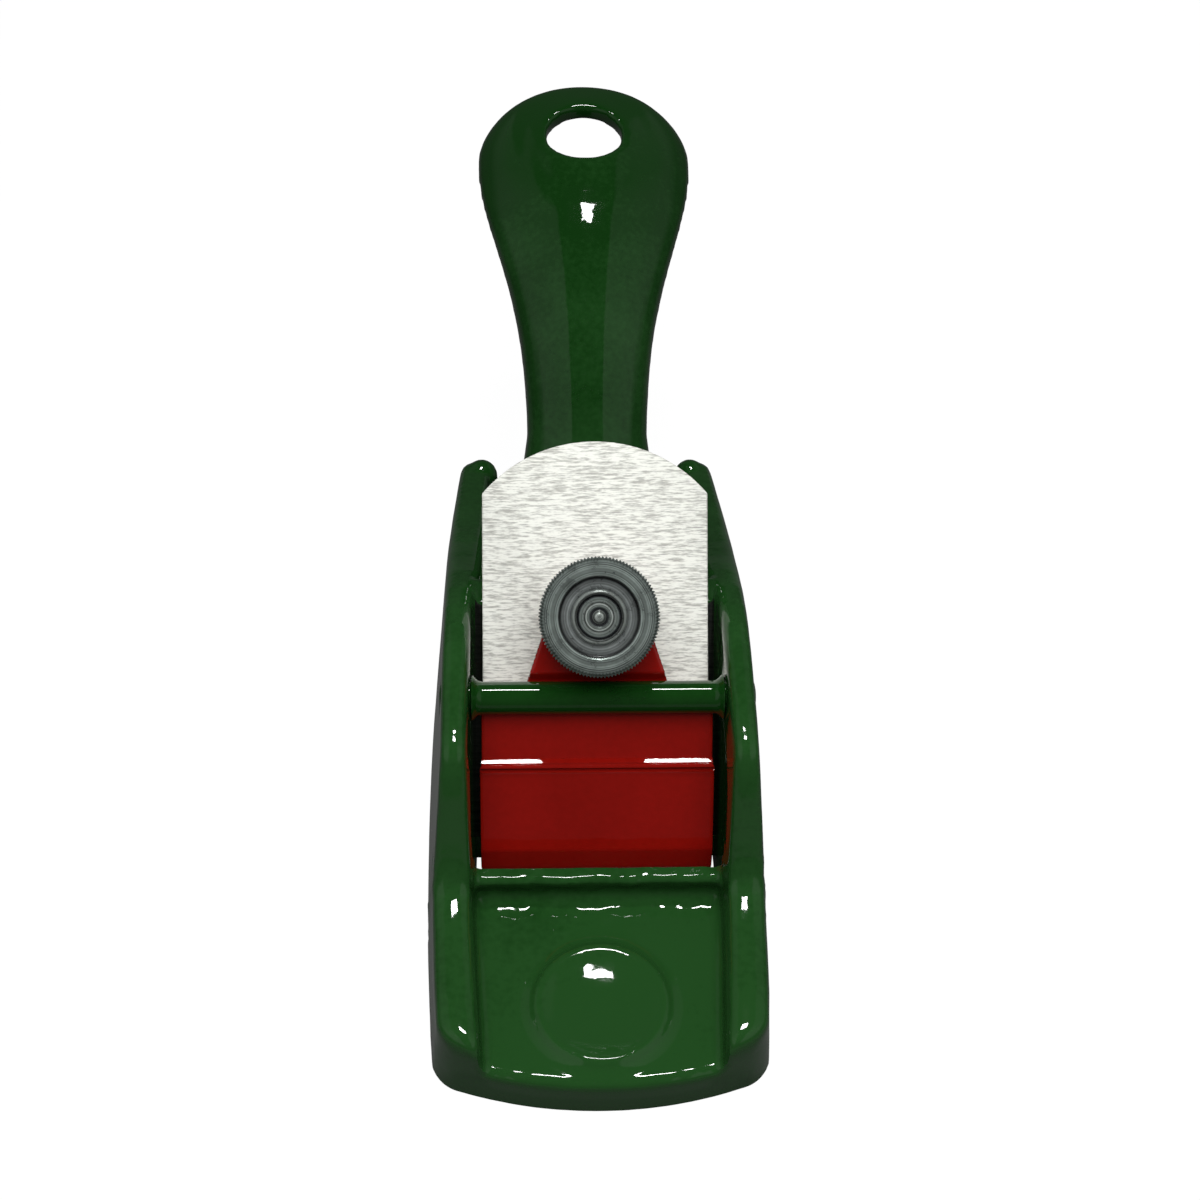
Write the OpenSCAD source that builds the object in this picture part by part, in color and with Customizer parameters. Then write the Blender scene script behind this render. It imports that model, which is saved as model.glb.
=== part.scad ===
// Squirrel-tail pocket plane: a one-piece iron body with a rising tail handle, a cross bar,
// a bevel-down blade on a 45 degree bed, a rocking lever cap and its knurled thumbscrew.
// Millimetres. The sole lies on Z = 0 with the toe towards -Y, and the origin is at its middle.

/* [Sole] */
// Length of the sole from toe to heel
sole_l = 90; // [86:1:96]
// Width of the sole where its bowed sides are widest
sole_w = 38.4; // [38:0.2:40]
// Radius of the bowed sides in plan
side_bow_r = 520; // [460:10:900]
// Distance of the widest place behind the middle of the sole
bow_y = 4; // [0:1:8]
// Thickness of the sole plate
floor_t = 4.8; // [4.4:0.1:5.2]
// Radius of the arc at the toe
toe_r = 46; // [42:1:54]
// Rounding of the toe's upper edge
toe_edge_r = 0.8; // [0.4:0.1:1.6]
// Plan rounding of the two toe corners
toe_corner_r = 2.3; // [1.6:0.1:3]
// Plan rounding of the two heel corners
heel_corner_r = 2.3; // [1.6:0.1:3.5]

/* [Side walls] */
// Clearance between the blade and the inner face of each wall
wall_gap = 1.2; // [0.9:0.05:1.3]
// How far the inner faces come in at the toe
toe_in = 1.6; // [1:0.1:2]
// How far the inner faces come in behind the bed
back_in = 0.6; // [0:0.1:0.8]
// Slope of the outer faces from upright, in degrees
side_draft = 6; // [5:0.25:6.5]
// Slope of the inner faces from upright, in degrees
inner_draft = 3.3; // [1:0.1:4]
// Rounding of the wall tops
wall_round = 1.3; // [1:0.1:1.8]
// Squareness of the wall tops: 1 is a half round, less is flatter
top_power = 0.7; // [0.6:0.05:1]
// Fillet between a wall and the sole plate at the toe
toe_fillet = 0.7; // [0.6:0.1:1.6]
// Fillet between a wall and the sole plate at the heel
heel_fillet = 3; // [2:0.1:3.6]
// Height of the walls at the toe
toe_wall_h = 8.6; // [8:0.1:9]
// Height of the walls where the ramp begins
low_h = 10.1; // [9.6:0.1:10.8]
// Height of the walls where the ramp ends
eye_h = 24.2; // [23.6:0.1:24.6]
// Height of the walls at the top of the hump
hump_h = 25.5; // [25:0.1:26.4]
// Height of the walls half way down to the heel
back_h = 19.1; // [17:0.1:20]
// Height of the walls at the heel
heel_wall_h = 9.7; // [8.6:0.1:11]
// Distance of the hump's top ahead of the middle of the sole
hump_ahead = 4; // [2:0.5:6]
// Rounding of the wall tops where they end at the toe and the heel
wall_nose_r = 1.3; // [1:0.1:2.6]
// Radius of the round post on the inner side of each wall at the heel
post_r = 2.1; // [1.6:0.1:2.4]
// Height of the heel posts
post_h = 11; // [9.5:0.1:11.5]
// Distance of each heel post's middle from the mid-plane
post_x = 14; // [13.6:0.1:14.6]

/* [Throat] */
// Angle of the bed in degrees
bed_angle = 45; // [44:0.5:46]
// Distance from the toe to the blade's cutting line on the sole
edge_from_toe = 23.9; // [23.4:0.1:24.4]
// Gap between the front of the mouth and the cutting line
mouth_gap = 1.3; // [1:0.1:1.6]
// Distance from the front to the back of the mouth in the sole
mouth_l = 8.6; // [7.6:0.1:9.4]
// Clearance between the blade and each side of the mouth and of its well
well_gap = 0.9; // [0.7:0.05:1.1]
// Thickness of the bed plate
bed_t = 4; // [3.4:0.1:4.6]
// Distance of the bed's upper end behind the middle of the sole
bed_top_y = 4.8; // [4:0.1:5.4]
// Height of the ridge ahead of the mouth
ridge_h = 8.4; // [7.8:0.1:8.8]
// Backward lean of the mouth's front wall
ridge_lean = 0.8; // [0.3:0.1:1]
// Distance of the ridge's front ahead of the mouth
ridge_t = 0.5; // [0.4:0.1:1]
// Rounding of the ridge's front edge
ridge_r = 0.6; // [0.3:0.1:0.7]
// Fillet at the foot of the ridge
ridge_foot = 0.7; // [0.4:0.1:1]

/* [Finger rest] */
// Distance from the toe to the centre of the finger rest
rest_from_toe = 9.1; // [8.8:0.1:9.6]
// Radius of the finger rest's rim
rest_r = 6.85; // [6.4:0.05:7.2]
// Height of the rim above the sole plate
rest_rise = 0.9; // [0.8:0.1:1.2]
// Depth of the hollow in the finger rest
rest_dish = 0.8; // [0.5:0.05:0.9]
// Run of the rim's outer flank
rest_flank = 1.4; // [1:0.1:1.6]

/* [Tail] */
// Radius of the tail's upper line in side view
tail_r = 71.6; // [71:0.2:74]
// Height of the upper line at the hanging hole
tail_hole_z = 41.3; // [40.6:0.1:42]
// Distance of the hanging hole behind the heel
tail_hole_behind = 31.7; // [30.6:0.1:32.6]
// Slope of the tail at the hanging hole, in degrees
tail_hole_slope = 10.5; // [9.5:0.5:11]
// Radius of the hanging hole
hole_r = 5.15; // [4.5:0.05:5.6]
// Width of the tail's palm end
palm_w = 29.4; // [27:0.1:31]
// Width of the neck
neck_w = 15.2; // [14:0.1:17]
// Width of the tail's foot on the sole plate
foot_w = 24.6; // [21:0.2:25]
// Thickness of the tail at the hanging hole
palm_t = 4.4; // [3:0.1:5]
// Thickness of the neck
neck_t = 7.4; // [6.6:0.1:8.2]
// Thickness of the tail's foot
foot_t = 8.6; // [8.2:0.1:9]
// Radius of the crown across the tail
crown_r = 30; // [24:1:40]

/* [Cross bar] */
// Radius of the cross bar
bar_r = 1.75; // [1.5:0.05:1.85]
// Distance of the bar's axis ahead of the middle of the sole
bar_ahead = 8.8; // [8.5:0.1:9.1]
// Height of the bar's axis above the sole
bar_z = 21.5; // [21.2:0.1:21.8]

/* [Blade] */
// Width of the blade
blade_w = 25; // [24:0.1:25.6]
// Thickness of the blade
blade_t = 2.4; // [2:0.1:2.6]
// Length of the blade along the bed
blade_l = 51.7; // [46:0.1:54]
// Radius of the blade's round top
blade_top_r = 16.4; // [14:0.2:20]
// Angle of the ground bevel, in degrees
bevel_angle = 27; // [25:1:32]
// Distance along the bed that the stored edge stays above the sole
edge_lift = 0.2; // [0.1:0.05:0.5]

/* [Lever cap] */
// How much wider than the blade the lever cap is
cap_over = 0.4; // [-0.2:0.1:0.6]
// Distance of the lip from the cutting line
lip_s = 4.7; // [4.4:0.1:5]
// Length of the lip's seat on the blade
lip_seat = 2; // [1.4:0.1:2.4]
// Thickness of the lip at its front edge
lip_t = 0.8; // [0.5:0.1:1]
// Length of the lip's sloping front along the blade
lip_run = 2.3; // [2:0.1:2.8]
// Thickness of the cap where the lip's slope ends
lip_top = 2.3; // [2:0.1:2.6]
// Distance of the panel's upper end from the cutting line
panel_end_s = 15.8; // [15:0.1:16.2]
// Thickness of the cap at the panel's upper end
panel_t = 4.4; // [4.1:0.1:4.6]
// Width of the bead across the cap
bead_w = 1.1; // [0.8:0.1:1.4]
// Rise of the bead above the panel
bead_rise = 0.55; // [0.3:0.05:0.8]
// Thickness of the cap ahead of the bar
band_t = 5.1; // [4.9:0.1:5.4]
// How much narrower the cap is on each side above the bead
band_inset = 0.2; // [0:0.05:0.4]
// Hollow under the cap
cap_hollow = 1.2; // [1:0.1:1.5]
// Clear height under the arm
arm_under = 3.2; // [3:0.1:3.5]
// Height of the arm's upper face above the blade
arm_top = 6.4; // [6:0.1:6.8]
// Half width of the arm at the bar
arm_root_half = 8; // [7:0.1:9]
// Radius of the arm's round end
arm_end_r = 5.9; // [5:0.1:6.2]

/* [Thumbscrew] */
// Distance of the screw's axis from the cutting line, along the blade
screw_s = 32.5; // [32:0.1:33]
// Radius of the threaded stud
stud_r = 2.5; // [2.4:0.05:2.6]
// Radius of the stud's flat tip
tip_r = 1.4; // [1:0.1:1.4]
// Radius of the stud's upper end in the head
journal_r = 2.3; // [1.9:0.05:2.3]
// Outer radius of the head
head_r = 6.3; // [5.8:0.1:6.8]
// Height of the head's upper face above the blade
head_top = 13.2; // [12.8:0.1:14]
// Thickness of the head
head_t = 5.2; // [4.6:0.1:5.6]
// Radius of the hollow in the head's upper face
head_dish_r = 4.4; // [3.8:0.1:4.6]
// Depth of that hollow
head_dish = 0.8; // [0.4:0.1:1]
// Bevel of the head's edges
head_bevel = 0.35; // [0.2:0.05:0.6]

/* [Fits] */
// Gap between faces that slide on each other
slide_gap = 0.03; // [0.02:0.01:0.06]
// Radial gap of the stud in the cap and in the head
stud_gap = 0.05; // [0.03:0.01:0.08]
// Radial gap of the bar in its two holes
bar_gap = 0.01; // [0.01:0.005:0.03]
// Radial gap between the bar and the cap's trough
trough_gap = 0.06; // [0.05:0.01:0.1]

/* [Hidden] */
$fn = 64;

// Half of the clear width at the wall tops, and of the mouth and the blade's well
inner_half = blade_w / 2 + wall_gap;
well_half = blade_w / 2 + well_gap;
cap_w = blade_w + cap_over;
toe_y = -sole_l / 2;
heel_y = sole_l / 2;
edge_y = toe_y + edge_from_toe;
mouth_y = edge_y - mouth_gap;
bed_nose_y = mouth_y + mouth_l;
bar_y = -bar_ahead;
rest_y = toe_y + rest_from_toe;
rise = tan(bed_angle);
// Where the bed's plane would meet the sole
bed_foot_y = edge_y + (blade_t + slide_gap) / sin(bed_angle);
through = 60;

// A smooth curve from height a to height b with a slope at each end
function between(y, y0, y1, a, b, slope_a, slope_b) = let (run = y1 - y0, t = (y - y0) / run)
    (2 * t^3 - 3 * t^2 + 1) * a + (3 * t^2 - 2 * t^3) * b
    + (t^3 - 2 * t^2 + t) * run * slope_a + (t^3 - t^2) * run * slope_b;
function smooth(t) = let (u = min(max(t, 0), 1)) u * u * (3 - 2 * u);
// How much a round nose of radius r takes off at distance d from its tip
function nose_drop(d, r) = d >= r ? 0 : r - sqrt(max(r^2 - (r - d)^2, 0));

// Height of the wall tops in side view: a low toe, a steep ramp, a gentle hump, a long fall
wall_front_y = toe_y + toe_r - sqrt(toe_r^2 - 15^2);
low_y = toe_y + 19.1;
eye_y = toe_y + 27.5;
hump_y = -hump_ahead;
back_y = heel_y - 28.6;
function wall_line(y) =
    y < low_y ? between(y, toe_y + 4.5, low_y, toe_wall_h, low_h, 0.1, 0.2)
    : y < eye_y ? between(y, low_y, eye_y, low_h, eye_h, 0.2, 0.15)
    : y < hump_y ? between(y, eye_y, hump_y, eye_h, hump_h, 0.15, 0)
    : y < back_y ? between(y, hump_y, back_y, hump_h, back_h, 0, -0.42)
    : between(y, back_y, heel_y, back_h, heel_wall_h, -0.42, -0.24);
function wall_h(y) = max(floor_t + 0.3,
    wall_line(y) - nose_drop(y - wall_front_y, wall_nose_r) - nose_drop(heel_y - y, wall_nose_r));

// Half width of the sole, bowed in plan and rounded at its corners
function sole_half(y) =
    sole_w / 2 - (y - bow_y)^2 / (2 * side_bow_r)
    - nose_drop(y - wall_front_y, toe_corner_r) - nose_drop(heel_y - y, heel_corner_r);

// The ends of the walls follow the arc of the toe
function toe_arc(x) = toe_r - sqrt(toe_r^2 - x^2);
function toe_shift(x, y) = (toe_arc(x) - toe_arc(15)) * smooth((wall_front_y + 7 - y) / 7);

function square_off(v) = abs(v) < 0.0001 ? 0 : sign(v) * pow(abs(v), top_power);

// The inner faces come in towards the toe and again behind the bed
function inner_at(y) = inner_half
    - toe_in * (1 - sin(90 * min(max((y - wall_front_y) / 26, 0), 1)))
    - back_in * smooth((y - bed_top_y) / 6);

// One section across a wall: sloping faces, a round top and a fillet to the sole plate
function wall_section(y) =
    let (h = wall_h(y), base = sole_half(y), cz = h - wall_round)
    let (out = base - tan(side_draft) * cz)
    let (in = min(inner_at(y) - tan(inner_draft) * wall_round, out - 1.2), r = (out - in) / 2)
    let (fillet = toe_fillet + (heel_fillet - toe_fillet) * smooth((y + 10) / 20))
    let (foot_z = min(floor_t + fillet, cz - 0.1), foot_x = in - tan(inner_draft) * (cz - foot_z))
    [for (p = concat(
        [[base, 0]],
        [for (a = [0 : 22.5 : 180]) [in + r + r * square_off(cos(a)), cz + wall_round * square_off(sin(a))]],
        [for (a = [0 : 22.5 : 90]) [foot_x - fillet * (1 - cos(a)), foot_z - fillet * sin(a)]],
        [[foot_x - fillet, 0]])) [p[0], y + toe_shift(p[0], y), max(p[1], 0)]];

// Places along the wall where a section stands, closer together where the outline curves
wall_y = concat(
    [for (a = [0 : 18 : 90]) wall_front_y + (wall_nose_r + 0.6) * (1 - cos(a))],
    [for (i = [1 : 4]) let (a = wall_front_y + wall_nose_r + 0.6) a + (low_y - a) * i / 4],
    [for (i = [1 : 8]) low_y + (eye_y - low_y) * i / 8],
    [for (i = [1 : 6]) eye_y + (hump_y + 6 - eye_y) * i / 6],
    [for (i = [1 : 9]) let (a = hump_y + 6) a + (heel_y - heel_corner_r - 0.2 - a) * i / 9],
    [for (a = [18 : 18 : 90]) heel_y - (heel_corner_r + 0.2) * (1 - sin(a))]);

// Triangles between equal rings of points, with a fan on each end
function ring_faces(n, count) = concat(
    [for (j = [1 : n - 2]) [0, j, j + 1]],
    [for (i = [0 : count - 2], j = [0 : n - 1]) let (k = (j + 1) % n)
        each [[i * n + j, (i + 1) * n + j, (i + 1) * n + k], [i * n + j, (i + 1) * n + k, i * n + k]]],
    [for (j = [1 : n - 2]) let (e = (count - 1) * n) [e, e + j + 1, e + j]]);

module wall() {
    sections = [for (i = [len(wall_y) - 1 : -1 : 0]) wall_section(wall_y[i])];
    polyhedron(points = [for (s = sections) each s], faces = ring_faces(len(sections[0]), len(sections)),
               convexity = 4);
}

// Extrudes a side view (points are [y, z]) across the body, centred on its middle
module across(width) {
    translate([-width / 2, 0, 0]) rotate([90, 0, 90]) linear_extrude(width) children();
}

// Round-topped posts where the walls end at the heel
module heel_post() {
    translate([post_x, heel_y - post_r - 0.3, 0]) {
        translate([0, 0, floor_t - 1]) cylinder(r = post_r, h = post_h - post_r - floor_t + 1);
        translate([0, 0, post_h - post_r]) sphere(r = post_r);
    }
}

// The plate between the walls, with the arc of the toe and its rounded upper edge
plate_half = inner_half - 0.35;
module sole_plate() {
    edge = toe_edge_r;
    intersection() {
        translate([-plate_half, toe_y - 1, 0]) cube([2 * plate_half, sole_l + 1, floor_t]);
        translate([0, toe_y + toe_r, 0]) rotate_extrude($fn = 180) polygon(concat(
            [[0, 0], [toe_r, 0]],
            [for (a = [0 : 15 : 90]) [toe_r - edge + edge * cos(a), floor_t - edge + edge * sin(a)]],
            [[0, floor_t]]));
        translate([-sole_w, toe_y - floor_t, -floor_t]) cube([2 * sole_w, sole_l + floor_t, 3 * floor_t]);
    }
}

// The bed plate stands on the sole plate and carries the blade's back
module bed() {
    top_z = (bed_top_y - bed_foot_y) * rise;
    back = bed_t / sin(bed_angle);
    spare = 1.2;
    round_r = 1.2;
    across(2 * inner_half + 0.3) polygon(concat(
        [[bed_nose_y - 1, 0.4], [bed_nose_y - 1, (bed_nose_y - 1 - bed_foot_y) * rise + spare],
         [bed_top_y - spare, top_z], [bed_top_y, top_z]],
        [for (a = [0 : 30 : 90])
            [bed_top_y + back - 2.4 + round_r * sin(a), top_z - round_r * (1 - cos(a))]],
        [[bed_top_y + back - 1.6, (bed_top_y - 1.6 - bed_foot_y) * rise],
         [bed_foot_y + back + floor_t - 1, floor_t - 1], [bed_foot_y + back + floor_t - 1, 0.4]]));
}

// A low ridge stands across the toe just ahead of the mouth
module ridge() {
    front = mouth_y - ridge_t;
    foot = front - 0.3;
    across(2 * inner_half) polygon(concat(
        [[mouth_y + 1.2, 1], [mouth_y + 1.2, ridge_h]],
        [for (a = [90 : 15 : 180])
            [front + ridge_r + ridge_r * cos(a), ridge_h - ridge_r + ridge_r * sin(a)]],
        [for (a = [0 : 30 : 90]) [foot - ridge_foot * (1 - cos(a)), floor_t + ridge_foot * (1 - sin(a))]],
        [[foot - ridge_foot, floor_t - 0.6], [foot - ridge_foot, 1]]));
}

// What the mouth and the blade's well take away, down to the bed's plane
module well() {
    across(2 * well_half) polygon([
        [mouth_y, -1], [mouth_y, floor_t], [mouth_y + ridge_lean, ridge_h + 0.1],
        [mouth_y + ridge_lean, through], [bed_foot_y + through / rise, through],
        [bed_nose_y, (bed_nose_y - bed_foot_y) * rise], [bed_nose_y, -1]]);
}

// A round boss with a rolled rim and a shallow hollow for the fingertip
module finger_rest() {
    rim_z = floor_t + rest_rise;
    roll = 0.25;
    ball_r = ((rest_r - roll)^2 + rest_dish^2) / (2 * rest_dish);
    translate([0, rest_y, 0]) difference() {
        rotate_extrude($fn = 96) polygon(concat(
            [[0, floor_t - 1], [rest_r + rest_flank, floor_t - 1]],
            [for (a = [0 : 15 : 90]) [rest_r + rest_flank * (1 - sin(a))^2,
                                      floor_t + (rest_rise - roll / 2) * sin(a)]],
            [[rest_r - roll, rim_z], [0, rim_z]]));
        translate([0, 0, rim_z - rest_dish + ball_r]) sphere(r = ball_r, $fn = 128);
    }
}

// The tail: rings along an arc, widest at the palm end, spreading again at its foot
turn = 180 / (PI * tail_r);
hole_y = heel_y + tail_hole_behind;
arc_y = hole_y + tail_r * sin(tail_hole_slope);
arc_z = tail_hole_z - tail_r * cos(tail_hole_slope);
palm_s = 0.5;
tip_run = 13;
spread_s = 44.5;
// The foot ends just under the top of the sole plate
foot_s = (acos((floor_t - 0.2 - arc_z) / tail_r) - tail_hole_slope) / turn;
function tail_point(s, x, n) = let (a = tail_hole_slope + turn * s)
    [x, arc_y - (tail_r + n) * sin(a), arc_z + (tail_r + n) * cos(a)];
function tail_w(s) = s < palm_s
    ? palm_w * sqrt(max(1 - pow((palm_s - s) / tip_run, 2.2), 0.0004))
    : neck_w + (palm_w - neck_w) * exp(-pow((s - palm_s) / 23.7, 2.05))
      + (foot_w - neck_w) * pow(max(s - spread_s, 0) / (foot_s - spread_s), 1.3);
function tail_t(s) =
    palm_t + (neck_t - palm_t) * smooth(s / 34) + (foot_t - neck_t) * smooth((s - spread_s) / 16);
// The palm's far edge is rounded over: the share of the thickness that is left near its end
function tip_share(s) = sqrt(max(1 - pow(max(palm_s - s, 0) / tip_run, 3), 0.0004));
ring_n = 24;
function tail_ring(s) =
    let (w = tail_w(s), t = tail_t(s), camber = w^2 / (8 * crown_r), thin = tip_share(s))
    [for (j = [0 : ring_n - 1]) let (a = 360 * j / ring_n, c = cos(a), q = sin(a))
        tail_point(s, w / 2 * c, -camber * c^2 - t / 2 + thin * sign(q) * t / 2 * pow(abs(q), 0.7))];
tail_s = concat(
    [for (a = [86, 78, 68, 58, 48, 38, 28, 18, 8]) palm_s - tip_run * sin(a)],
    [for (i = [0 : 20]) palm_s + (foot_s - palm_s) * i / 20]);
module tail() {
    polyhedron(points = [for (s = tail_s) each tail_ring(s)], faces = ring_faces(ring_n, len(tail_s)),
               convexity = 4);
}

module body_casting() {
    color("#1d4a20") difference() {
        union() {
            sole_plate();
            wall();
            mirror([1, 0, 0]) wall();
            heel_post();
            mirror([1, 0, 0]) heel_post();
            bed();
            ridge();
            finger_rest();
            tail();
        }
        well();
        translate([0, bar_y, bar_z]) rotate([0, 90, 0])
            cylinder(r = bar_r + bar_gap, h = through, center = true);
        translate(tail_point(0, 0, 0)) rotate([tail_hole_slope, 0, 0])
            cylinder(r = hole_r, h = 4 * palm_t, center = true);
    }
}

// The bar's ends are filed flush with the sloping sides
bar_half = sole_half(bar_y) - tan(side_draft) * bar_z;
module cross_bar() {
    color("#1d4a20") translate([0, bar_y, bar_z]) rotate([0, 90, 0])
        cylinder(r = bar_r, h = 2 * bar_half, center = true);
}

// Moves a child drawn on the blade: x across, y up the bed, z out of the blade's upper face
module on_blade() {
    translate([0, edge_y, 0]) rotate([bed_angle, 0, 0]) children();
}

module blade() {
    color("#cfcfca") on_blade() difference() {
        translate([0, 0, -blade_t]) linear_extrude(blade_t) intersection() {
            translate([-blade_w / 2, edge_lift]) square([blade_w, blade_l]);
            translate([0, edge_lift + blade_l - blade_top_r]) union() {
                circle(r = blade_top_r, $fn = 160);
                translate([-blade_w / 2, -blade_l]) square([blade_w, blade_l]);
            }
        }
        translate([-blade_w, edge_lift, 0]) rotate([-bevel_angle, 0, 0]) rotate([90, 0, 90])
            linear_extrude(2 * blade_w)
                polygon([[-blade_t, 0], [4 * blade_t, 0],
                         [4 * blade_t, -3 * blade_t], [-blade_t, -3 * blade_t]]);
    }
}

// The bar seen from the blade: its distance up the bed and its height above the blade
bar_s = (bar_y - edge_y) * cos(bed_angle) + bar_z * sin(bed_angle);
bar_n = bar_z * cos(bed_angle) - (bar_y - edge_y) * sin(bed_angle);
trough_r = bar_r + trough_gap;
module cap_side() {
    lip_end = lip_s + lip_run;
    bead_n = panel_t + bead_rise;
    bead_end = panel_end_s + bead_w;
    polygon([
        [lip_s, slide_gap], [lip_s, lip_t], [lip_end, lip_top], [panel_end_s - 0.3, panel_t],
        [panel_end_s, panel_t + 0.1], [panel_end_s + 0.25, bead_n - 0.12], [panel_end_s + 0.45, bead_n],
        [bead_end - 0.35, bead_n], [bead_end - 0.15, bead_n - 0.12], [bead_end, bead_n - 0.35],
        [bead_end + 0.3, bead_n - 0.4], [bar_s - 2.2, band_t], [bar_s, band_t],
        [bar_s + trough_r, band_t + 0.3],
        [bar_s + trough_r + 0.8, arm_top], [screw_s + arm_end_r + 1, arm_top],
        [screw_s + arm_end_r + 1, arm_under], [bar_s + 4, arm_under], [bar_s + 1, cap_hollow + 0.3],
        [lip_s + lip_seat + 1, cap_hollow], [lip_s + lip_seat, slide_gap]]);
}
module cap_plan() {
    band_half = cap_w / 2 - band_inset;
    step_s = panel_end_s + bead_w / 2;
    square_end = bar_s + 0.4;
    neck_s = screw_s - arm_end_r / 3;
    union() {
        polygon([[-cap_w / 2, lip_s], [cap_w / 2, lip_s], [cap_w / 2, step_s - 0.2],
                 [band_half, step_s + 0.2], [band_half, square_end], [arm_root_half, square_end],
                 [arm_end_r, neck_s], [arm_end_r, screw_s], [-arm_end_r, screw_s], [-arm_end_r, neck_s],
                 [-arm_root_half, square_end], [-band_half, square_end], [-band_half, step_s + 0.2],
                 [-cap_w / 2, step_s - 0.2]]);
        translate([0, screw_s]) circle(r = arm_end_r);
    }
}
module lever_cap() {
    color("#7d100c") on_blade() difference() {
        intersection() {
            translate([-cap_w, 0, 0]) rotate([90, 0, 90]) linear_extrude(2 * cap_w) cap_side();
            linear_extrude(arm_top + 1) cap_plan();
        }
        translate([-cap_w, bar_s, bar_n]) rotate([0, 90, 0]) cylinder(r = trough_r, h = 2 * cap_w);
        translate([0, screw_s, 0]) cylinder(r = stud_r + stud_gap, h = arm_top + 1);
    }
}

head_under = head_top - head_t;
face_z = head_top - head_dish;
module thumbscrew_stud() {
    shoulder = head_under - stud_gap;
    end = face_z + 0.1;
    color("#4a4d50") on_blade() translate([0, screw_s, 0]) rotate_extrude() polygon([
        [0, slide_gap], [tip_r, slide_gap], [stud_r, slide_gap + stud_r - tip_r], [stud_r, shoulder],
        [journal_r, shoulder], [journal_r, end - 0.2], [journal_r - 0.2, end], [0, end]]);
}
module thumbscrew_head() {
    color("#4a4d50") on_blade() translate([0, screw_s, 0]) rotate_extrude() polygon([
        [journal_r + stud_gap, head_under], [head_r - head_bevel, head_under],
        [head_r, head_under + head_bevel],
        [head_r, head_top - head_bevel], [head_r - head_bevel, head_top], [head_dish_r, head_top],
        [head_dish_r - 0.5, face_z], [journal_r + stud_gap, face_z]]);
}

body_casting();
cross_bar();
blade();
lever_cap();
thumbscrew_stud();
thumbscrew_head();
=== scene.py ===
# Squirrel-tail pocket plane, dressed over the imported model.
# The green body, cross bar, blade, red lever cap and knurled thumbscrew are each their own piece.
import math

import bpy
from mathutils import Matrix, Vector


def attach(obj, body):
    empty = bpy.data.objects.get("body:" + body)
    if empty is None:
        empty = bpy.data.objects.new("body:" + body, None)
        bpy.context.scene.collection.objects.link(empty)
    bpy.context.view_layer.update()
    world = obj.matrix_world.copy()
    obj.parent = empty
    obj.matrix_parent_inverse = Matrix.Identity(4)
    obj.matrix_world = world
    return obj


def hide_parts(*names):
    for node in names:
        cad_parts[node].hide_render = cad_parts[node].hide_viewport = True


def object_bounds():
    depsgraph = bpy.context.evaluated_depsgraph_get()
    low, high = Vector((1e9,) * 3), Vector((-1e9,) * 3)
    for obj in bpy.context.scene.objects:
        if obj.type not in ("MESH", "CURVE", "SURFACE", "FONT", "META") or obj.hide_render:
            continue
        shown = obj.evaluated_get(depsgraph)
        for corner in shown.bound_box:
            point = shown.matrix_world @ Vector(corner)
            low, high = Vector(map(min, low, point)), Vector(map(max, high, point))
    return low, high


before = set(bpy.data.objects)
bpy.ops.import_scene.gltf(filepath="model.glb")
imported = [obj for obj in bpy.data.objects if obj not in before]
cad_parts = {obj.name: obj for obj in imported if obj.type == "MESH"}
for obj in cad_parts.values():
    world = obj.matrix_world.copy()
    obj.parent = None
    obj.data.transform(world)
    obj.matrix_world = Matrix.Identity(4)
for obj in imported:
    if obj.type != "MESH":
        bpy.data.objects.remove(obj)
cad_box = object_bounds()

MM = 0.001

# Places taken from the model, in metres
EDGE_Y = -21.1 * MM
MOUTH_Y = -22.4 * MM
MOUTH_BACK_Y = -13.8 * MM
BED_FOOT_Y = -17.66 * MM
WELL_HALF = 13.4 * MM
BAR_Y = -8.8 * MM
BAR_Z = 21.5 * MM
BAR_R = 1.75 * MM
BAR_HALF = 16.78 * MM
SCREW_S = 32.5 * MM
FOOT_Y = -23.4 * MM
HUMP_CORNER_Y = -17.6 * MM
HOLE_TOP = Vector((0, 76.7 * MM, 41.3 * MM))
HOLE_AXIS = Vector((0, -0.18224, 0.98325))
BED_TILT = math.radians(45)
SQ = math.sqrt(0.5)

# Fineness and paint
COARSE = 1
BODY_SKIN = 0.4 * MM * COARSE
CAP_SKIN = 0.2 * MM * COARSE
SOLE_SPARE = 1.2 * MM
WALL_MIDDLE = 15 * MM

# The thumbscrew
TEETH = 105
HEAD_LOW = 8.0 * MM
HEAD_TOP = 13.2 * MM
TOOTH_TIP = 6.3 * MM
TOOTH_ROOT = 6.08 * MM
HEAD_BEVEL = 0.35 * MM
THREAD_PITCH = 0.8 * MM
BAND_RADIUS = 2.05 * MM
BAND_HALF = 0.34 * MM

# The photograph's camera
CAMERA_PLACE = Vector((-0.00558008, -0.12361073, 0.15000366))
CAMERA_RIGHT = Vector((0.999411, -0.026980, 0.021200))
CAMERA_UP = Vector((0.00394404, 0.70407496, 0.7101147))
CAMERA_LENS = 48.4224


def deselect():
    bpy.ops.object.select_all(action="DESELECT")


def pick(piece):
    deselect()
    piece.select_set(True)
    bpy.context.view_layer.objects.active = piece


def edit(select="DESELECT"):
    bpy.ops.object.mode_set(mode="EDIT")
    bpy.ops.mesh.select_mode(type="VERT")
    bpy.ops.mesh.select_all(action=select)


def done_editing():
    bpy.ops.object.mode_set(mode="OBJECT")


def named(name):
    piece = bpy.context.active_object
    piece.name = name
    piece.data.name = name
    return piece


def settle():
    bpy.ops.object.transform_apply(location=True, rotation=True, scale=True)


def join_onto(piece, extras):
    """Makes the extras part of a piece, which keeps its name."""
    pick(piece)
    for extra in extras:
        extra.select_set(True)
    bpy.ops.object.join()


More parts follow.
